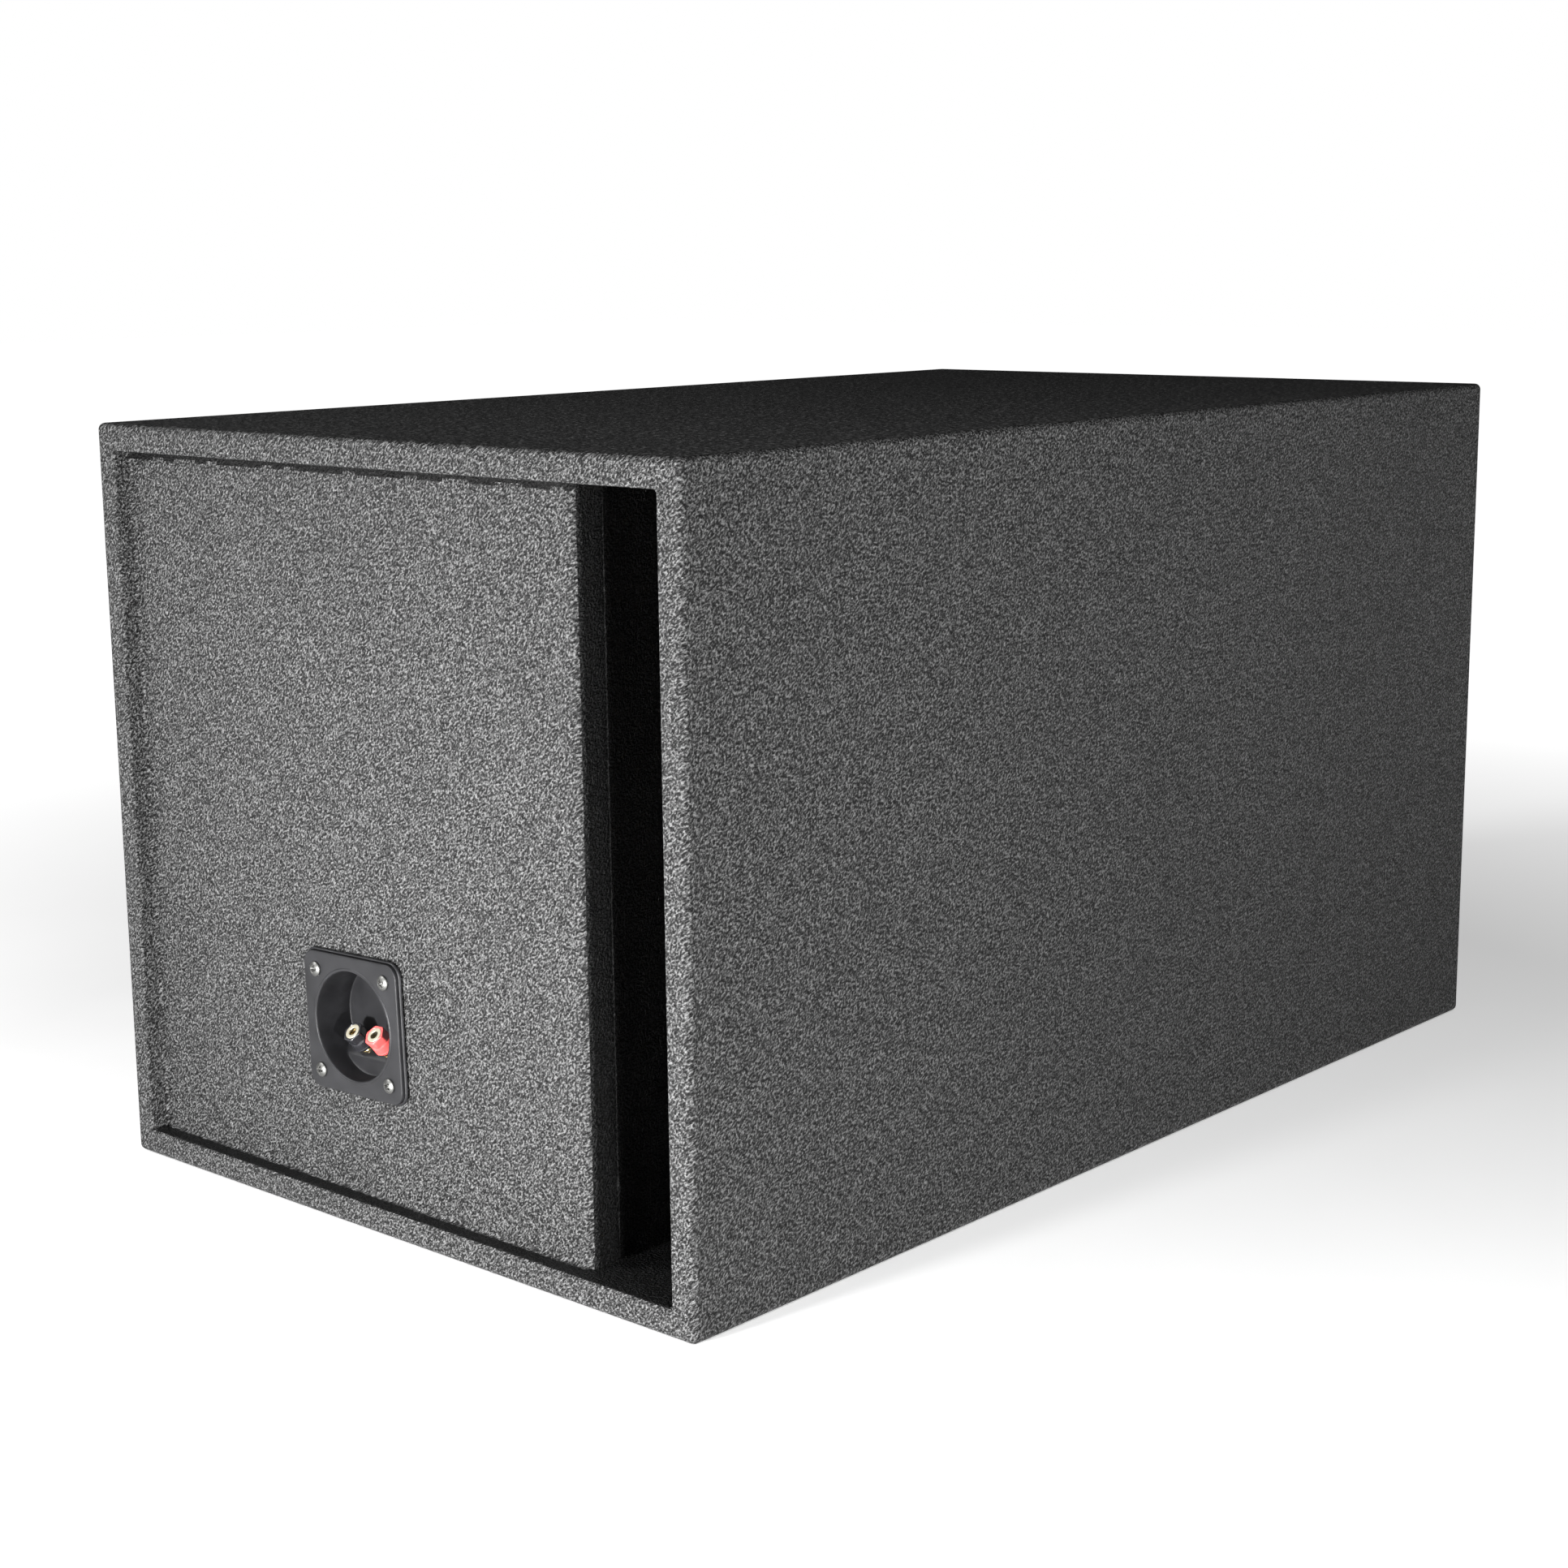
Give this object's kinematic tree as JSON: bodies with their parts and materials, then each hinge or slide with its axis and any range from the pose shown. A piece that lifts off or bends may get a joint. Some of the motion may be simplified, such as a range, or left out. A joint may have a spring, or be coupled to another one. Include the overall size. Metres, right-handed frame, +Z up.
{
  "type": "subwoofer cabinet",
  "caption": "Vented subwoofer cabinet with a pebble-grain black coating, a full-height slot port, a recessed terminal cup with binding posts, and a driver on its long face.",
  "frame": {"origin": "centre of the underside of the box", "axes": "+X out of the port and terminal end, along the length; -Y out of the driver face; +Z up"},
  "size_m": [0.794, 0.4901, 0.445],
  "materials": {
    "textured_coating": "sprayed pebble-grain coating over fibreboard, satin black",
    "bare_board": "bare medium-density fibreboard, sawn edges",
    "batten_wood": "planed softwood",
    "cup_plastic": "moulded black plastic, fine satin grain",
    "foam_rubber": "closed-cell foam",
    "zinc_steel": "bright zinc plate",
    "brass": "machined brass",
    "pale_brass": "nickel-washed brass",
    "black_cap_plastic": "gloss black plastic",
    "red_cap_plastic": "semi-gloss red plastic",
    "tinned_brass": "tinned sheet brass",
    "black_insulation": "soft vinyl",
    "red_insulation": "soft vinyl",
    "white_nylon": "natural nylon",
    "black_cast_frame": "black powder coat on cast alloy",
    "motor_steel": "turned low-carbon steel",
    "ferrite": "ground ferrite",
    "coil_film": "amber film",
    "copper_winding": "enamelled copper wire",
    "spider_cloth": "resin-treated woven cloth",
    "cone_paper": "black pressed paper pulp",
    "surround_rubber": "satin black rubber",
    "trim_rubber": "matt black rubber",
    "fibre_board": "brown phenolic board",
    "braided_copper": "copper braid",
    "black_steel": "black oxide"
  },
  "bodies": {
    "cabinet": {"top_panel": "textured_coating", "bottom_panel": "textured_coating", "back_panel": "textured_coating", "front_panel": "textured_coating", "port_end_panel": "textured_coating", "closed_end_panel": "textured_coating", "port_wall": "textured_coating", "port_side_brace": "bare_board", "closed_side_brace": "bare_board", "port_end_top_batten": "batten_wood", "port_end_bottom_batten": "batten_wood", "port_end_front_batten": "batten_wood", "closed_end_top_batten": "batten_wood", "closed_end_bottom_batten": "batten_wood", "closed_end_front_batten": "batten_wood", "closed_end_back_batten": "batten_wood", "terminal_gasket": "foam_rubber", "terminal_cup": "cup_plastic", "terminal_screws": "zinc_steel", "black_post": "brass", "red_post": "brass", "post_washers": "zinc_steel", "post_nuts": "brass", "post_lugs": "tinned_brass", "black_wire": "black_insulation", "red_wire": "red_insulation", "wire_connectors": "tinned_brass", "cable_clips": "white_nylon", "driver_gasket": "foam_rubber", "driver_basket": "black_cast_frame", "top_plate": "motor_steel", "magnet": "ferrite", "pole_yoke": "motor_steel", "motor_bolts": "zinc_steel", "spider": "spider_cloth", "surround": "surround_rubber", "trim_ring": "trim_rubber", "driver_terminal_block": "fibre_board", "driver_terminal_tags": "tinned_brass", "tinsel_leads": "braided_copper", "driver_bolts": "black_steel", "tee_nuts": "zinc_steel"},
    "moving_cone": {"cone": "cone_paper", "dust_cap": "cone_paper", "coil_former": "coil_film", "voice_coil": "copper_winding"},
    "black_insert": {"black_cap_insert": "pale_brass"},
    "black_knob": {"black_cap": "black_cap_plastic"},
    "red_insert": {"red_cap_insert": "pale_brass"},
    "red_knob": {"red_cap": "red_cap_plastic"}
  },
  "joints": [
    {"name": "cone_travel", "type": "slide", "parent": "cabinet", "child": "moving_cone", "axis": [0, -1, 0], "range_m": [-0.01, 0.01], "stiffness_N_per_m": 6000, "deforming": ["surround", "spider", "tinsel_leads"]},
    {"name": "black_cap_lift", "type": "slide", "parent": "cabinet", "child": "black_insert", "axis": [0.7071, -0.0234, 0.7067], "range_m": [0, 0.003]},
    {"name": "black_cap_turn", "type": "hinge", "parent": "black_insert", "child": "black_knob", "pos_m": [0.371, -0.04285, 0.09816], "axis": [0.7071, -0.0234, 0.7067], "range_deg": [0, 1081]},
    {"name": "red_cap_lift", "type": "slide", "parent": "cabinet", "child": "red_insert", "axis": [0.7071, -0.0234, 0.7067], "range_m": [-0.0022, 0.0008]},
    {"name": "red_cap_turn", "type": "hinge", "parent": "red_insert", "child": "red_knob", "pos_m": [0.371, -0.02186, 0.09886], "axis": [0.7071, -0.0234, 0.7067], "range_deg": [-792.6, 288.6]}
  ],
  "couplings": [
    {"joint": "black_cap_turn", "follows": "black_cap_lift", "rad_per_m": 6283.2},
    {"joint": "red_cap_turn", "follows": "red_cap_lift", "rad_per_m": 6283.2}
  ]
}
